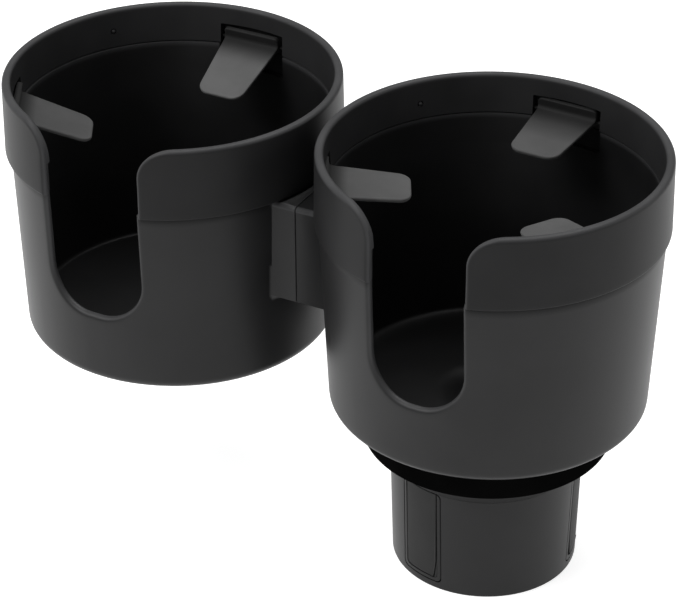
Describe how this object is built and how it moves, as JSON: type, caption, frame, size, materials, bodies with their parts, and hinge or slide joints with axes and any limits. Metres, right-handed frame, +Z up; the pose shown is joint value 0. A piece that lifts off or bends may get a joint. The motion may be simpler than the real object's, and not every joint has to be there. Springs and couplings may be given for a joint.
{
  "type": "vehicle cup holder expander",
  "caption": "Cup holder expander: a base with expanding feet, a main cup that turns on it and a lift-off side cup, with notched walls and sprung grip tabs.",
  "frame": {"origin": "middle of the base's flat underside, on the main cup's axis", "axes": "+Z up the cups, -X towards the side cup, -Y towards the handle notches"},
  "size_m": [0.2316, 0.1111, 0.1515],
  "materials": {
    "body_plastic": "fine-textured black moulding with a satin sheen",
    "collar_plastic": "smooth matte black moulding",
    "flange_plastic": "flat black moulding",
    "tab_rubber": "dull dark grey rubber",
    "pad_rubber": "dull black rubber",
    "inner_plastic": "plain dark grey moulding",
    "screw_steel": "zinc-plated steel"
  },
  "bodies": {
    "base": {"base_housing": "body_plastic", "base_flange": "flange_plastic", "flange_screw_1": "screw_steel", "flange_screw_2": "screw_steel", "flange_screw_3": "screw_steel"},
    "main_cup": {"main_shell": "body_plastic", "main_collar": "collar_plastic", "scroll_plate": "inner_plastic", "hub_screw": "screw_steel", "hub_washer": "screw_steel"},
    "side_cup": {"side_shell": "body_plastic", "side_collar": "collar_plastic"},
    "foot_slider_1": {"foot_1": "body_plastic", "foot_pad_1": "pad_rubber"},
    "foot_slider_2": {"foot_2": "body_plastic", "foot_pad_2": "pad_rubber"},
    "foot_slider_3": {"foot_3": "body_plastic", "foot_pad_3": "pad_rubber"},
    "main_flap_1": {"main_tab_1": "tab_rubber"},
    "main_flap_2": {"main_tab_2": "tab_rubber"},
    "main_flap_3": {"main_tab_3": "tab_rubber"},
    "side_flap_1": {"side_tab_1": "tab_rubber"},
    "side_flap_2": {"side_tab_2": "tab_rubber"},
    "side_flap_3": {"side_tab_3": "tab_rubber"}
  },
  "joints": [
    {"name": "cup_turn", "type": "hinge", "parent": "base", "child": "main_cup", "pos_m": [0, 0, 0.045], "axis": [0, 0, -1], "range_deg": [0, 90]},
    {"name": "side_cup_lift", "type": "slide", "parent": "main_cup", "child": "side_cup", "axis": [0, 0, 1], "range_m": [0, 0.03]},
    {"name": "foot_1_slide", "type": "slide", "parent": "base", "child": "foot_slider_1", "axis": [-0.2924, -0.9563, 0], "range_m": [0, 0.0065]},
    {"name": "foot_2_slide", "type": "slide", "parent": "base", "child": "foot_slider_2", "axis": [0.9744, 0.225, 0], "range_m": [0, 0.0065]},
    {"name": "foot_3_slide", "type": "slide", "parent": "base", "child": "foot_slider_3", "axis": [-0.682, 0.7314, 0], "range_m": [0, 0.0065]},
    {"name": "main_tab_1_bend", "type": "hinge", "parent": "main_cup", "child": "main_flap_1", "pos_m": [0.00186, 0.05317, 0.1399], "axis": [0.9994, -0.0349, 0], "range_deg": [0, 55], "stiffness_Nm_per_rad": 0.03, "springref_deg": -8.59},
    {"name": "main_tab_2_bend", "type": "hinge", "parent": "main_cup", "child": "main_flap_2", "pos_m": [-0.04697, -0.02498, 0.1399], "axis": [-0.4695, 0.8829, 0], "range_deg": [0, 55], "stiffness_Nm_per_rad": 0.03, "springref_deg": -8.59},
    {"name": "main_tab_3_bend", "type": "hinge", "parent": "main_cup", "child": "main_flap_3", "pos_m": [0.04512, -0.02819, 0.1399], "axis": [-0.5299, -0.848, 0], "range_deg": [0, 55], "stiffness_Nm_per_rad": 0.03, "springref_deg": -8.59},
    {"name": "side_tab_1_bend", "type": "hinge", "parent": "side_cup", "child": "side_flap_1", "pos_m": [-0.1178, 0.0532, 0.1399], "axis": [1, 0, 0], "range_deg": [0, 44], "stiffness_Nm_per_rad": 0.03, "springref_deg": -8.59},
    {"name": "side_tab_2_bend", "type": "hinge", "parent": "side_cup", "child": "side_flap_2", "pos_m": [-0.16387, -0.0266, 0.1399], "axis": [-0.5, 0.866, 0], "range_deg": [0, 44], "stiffness_Nm_per_rad": 0.03, "springref_deg": -8.59},
    {"name": "side_tab_3_bend", "type": "hinge", "parent": "side_cup", "child": "side_flap_3", "pos_m": [-0.07173, -0.0266, 0.1399], "axis": [-0.5, -0.866, 0], "range_deg": [0, 44], "stiffness_Nm_per_rad": 0.03, "springref_deg": -8.59}
  ],
  "couplings": [
    {"joint": "foot_1_slide", "follows": "cup_turn", "m_per_rad": 0.004138},
    {"joint": "foot_2_slide", "follows": "cup_turn", "m_per_rad": 0.004138},
    {"joint": "foot_3_slide", "follows": "cup_turn", "m_per_rad": 0.004138}
  ]
}
